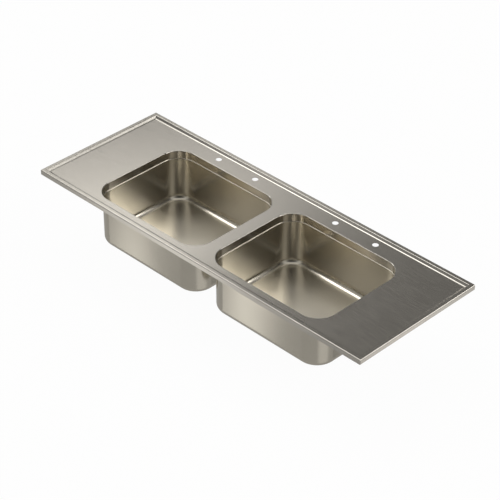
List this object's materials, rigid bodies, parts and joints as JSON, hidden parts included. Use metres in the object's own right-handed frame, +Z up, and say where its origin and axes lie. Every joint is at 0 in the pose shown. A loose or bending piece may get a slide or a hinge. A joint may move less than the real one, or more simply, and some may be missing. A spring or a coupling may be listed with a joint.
{
  "type": "double bowl inset sink",
  "caption": "Long brushed steel inset sink top with a raised rim, equal rectangular bowls, a drainer at each end, tap holes, basket strainer wastes and swing-out worktop clips.",
  "frame": {"origin": "middle of the rim, on the worktop's surface, which is the level of the lip's lower edge and of the sealing strip's underside", "axes": "+X along the sink to the right as its user stands, +Y from the front to the tap holes at the back, +Z up"},
  "size_m": [1.5, 0.546, 0.293],
  "materials": {
    "deck_steel": "brushed along the length",
    "bowl_steel": "satin",
    "sealing_foam": "closed-cell foam",
    "galvanised_steel": "galvanised",
    "damping_pad": "bitumen sheet",
    "zinc_plate": "bright zinc plate",
    "claw_steel": "zinc plated pressing",
    "brass": "plain",
    "strainer_steel": "bright",
    "gasket_rubber": "moulded",
    "waste_plastic": "moulded",
    "basket_steel": "polished"
  },
  "bodies": {
    "root": {"deck": "deck_steel", "left_bowl": "bowl_steel", "right_bowl": "bowl_steel", "rim_seal": "sealing_foam", "left_drainer_channel": "galvanised_steel", "right_drainer_channel": "galvanised_steel", "left_sound_pad": "damping_pad", "right_sound_pad": "damping_pad", "clip_brackets": "galvanised_steel", "clip_nuts": "zinc_plate", "earth_tag": "galvanised_steel", "earth_screw": "brass", "earth_washers": "brass", "earth_nut": "brass", "left_strainer_dish": "strainer_steel", "right_strainer_dish": "strainer_steel", "left_flange_gasket": "gasket_rubber", "right_flange_gasket": "gasket_rubber", "left_body_gasket": "gasket_rubber", "right_body_gasket": "gasket_rubber", "left_waste_body": "waste_plastic", "right_waste_body": "waste_plastic", "left_centre_screw": "zinc_plate", "right_centre_screw": "zinc_plate"},
    "front_left_screw": {"front_left_clip_screw": "zinc_plate"},
    "front_left_claw": {"front_left_clip_claw": "claw_steel"},
    "front_middle_screw": {"front_middle_clip_screw": "zinc_plate"},
    "front_middle_claw": {"front_middle_clip_claw": "claw_steel"},
    "front_right_screw": {"front_right_clip_screw": "zinc_plate"},
    "front_right_claw": {"front_right_clip_claw": "claw_steel"},
    "right_end_screw": {"right_end_clip_screw": "zinc_plate"},
    "right_end_claw": {"right_end_clip_claw": "claw_steel"},
    "back_right_screw": {"back_right_clip_screw": "zinc_plate"},
    "back_right_claw": {"back_right_clip_claw": "claw_steel"},
    "back_middle_screw": {"back_middle_clip_screw": "zinc_plate"},
    "back_middle_claw": {"back_middle_clip_claw": "claw_steel"},
    "back_left_screw": {"back_left_clip_screw": "zinc_plate"},
    "back_left_claw": {"back_left_clip_claw": "claw_steel"},
    "left_end_screw": {"left_end_clip_screw": "zinc_plate"},
    "left_end_claw": {"left_end_clip_claw": "claw_steel"},
    "left_basket": {"left_strainer_basket": "basket_steel", "left_basket_seal": "gasket_rubber"},
    "right_basket": {"right_strainer_basket": "basket_steel", "right_basket_seal": "gasket_rubber"}
  },
  "joints": [
    {"name": "front_left_clip_lift", "type": "slide", "parent": "root", "child": "front_left_screw", "axis": [0, 0, 1], "range_m": [-0.021, 0]},
    {"name": "front_left_claw_turn", "type": "hinge", "parent": "front_left_screw", "child": "front_left_claw", "pos_m": [-0.6405, -0.235, -0.0224], "axis": [0, 0, 1], "range_deg": [-90, 0]},
    {"name": "front_middle_clip_lift", "type": "slide", "parent": "root", "child": "front_middle_screw", "axis": [0, 0, 1], "range_m": [-0.021, 0]},
    {"name": "front_middle_claw_turn", "type": "hinge", "parent": "front_middle_screw", "child": "front_middle_claw", "pos_m": [0, -0.235, -0.0224], "axis": [0, 0, 1], "range_deg": [-90, 0]},
    {"name": "front_right_clip_lift", "type": "slide", "parent": "root", "child": "front_right_screw", "axis": [0, 0, 1], "range_m": [-0.021, 0]},
    {"name": "front_right_claw_turn", "type": "hinge", "parent": "front_right_screw", "child": "front_right_claw", "pos_m": [0.6405, -0.235, -0.0224], "axis": [0, 0, 1], "range_deg": [-90, 0]},
    {"name": "right_end_clip_lift", "type": "slide", "parent": "root", "child": "right_end_screw", "axis": [0, 0, 1], "range_m": [-0.021, 0]},
    {"name": "right_end_claw_turn", "type": "hinge", "parent": "right_end_screw", "child": "right_end_claw", "pos_m": [0.712, 0, -0.0224], "axis": [0, 0, 1], "range_deg": [-90, 0]},
    {"name": "back_right_clip_lift", "type": "slide", "parent": "root", "child": "back_right_screw", "axis": [0, 0, 1], "range_m": [-0.021, 0]},
    {"name": "back_right_claw_turn", "type": "hinge", "parent": "back_right_screw", "child": "back_right_claw", "pos_m": [0.6405, 0.235, -0.0224], "axis": [0, 0, 1], "range_deg": [-90, 0]},
    {"name": "back_middle_clip_lift", "type": "slide", "parent": "root", "child": "back_middle_screw", "axis": [0, 0, 1], "range_m": [-0.021, 0]},
    {"name": "back_middle_claw_turn", "type": "hinge", "parent": "back_middle_screw", "child": "back_middle_claw", "pos_m": [0, 0.235, -0.0224], "axis": [0, 0, 1], "range_deg": [-90, 0]},
    {"name": "back_left_clip_lift", "type": "slide", "parent": "root", "child": "back_left_screw", "axis": [0, 0, 1], "range_m": [-0.021, 0]},
    {"name": "back_left_claw_turn", "type": "hinge", "parent": "back_left_screw", "child": "back_left_claw", "pos_m": [-0.6405, 0.235, -0.0224], "axis": [0, 0, 1], "range_deg": [-90, 0]},
    {"name": "left_end_clip_lift", "type": "slide", "parent": "root", "child": "left_end_screw", "axis": [0, 0, 1], "range_m": [-0.021, 0]},
    {"name": "left_end_claw_turn", "type": "hinge", "parent": "left_end_screw", "child": "left_end_claw", "pos_m": [-0.712, 0, -0.0224], "axis": [0, 0, 1], "range_deg": [-90, 0]},
    {"name": "left_basket_lift", "type": "slide", "parent": "root", "child": "left_basket", "axis": [0, 0, 1], "range_m": [0, 0.05]},
    {"name": "right_basket_lift", "type": "slide", "parent": "root", "child": "right_basket", "axis": [0, 0, 1], "range_m": [0, 0.05]}
  ]
}
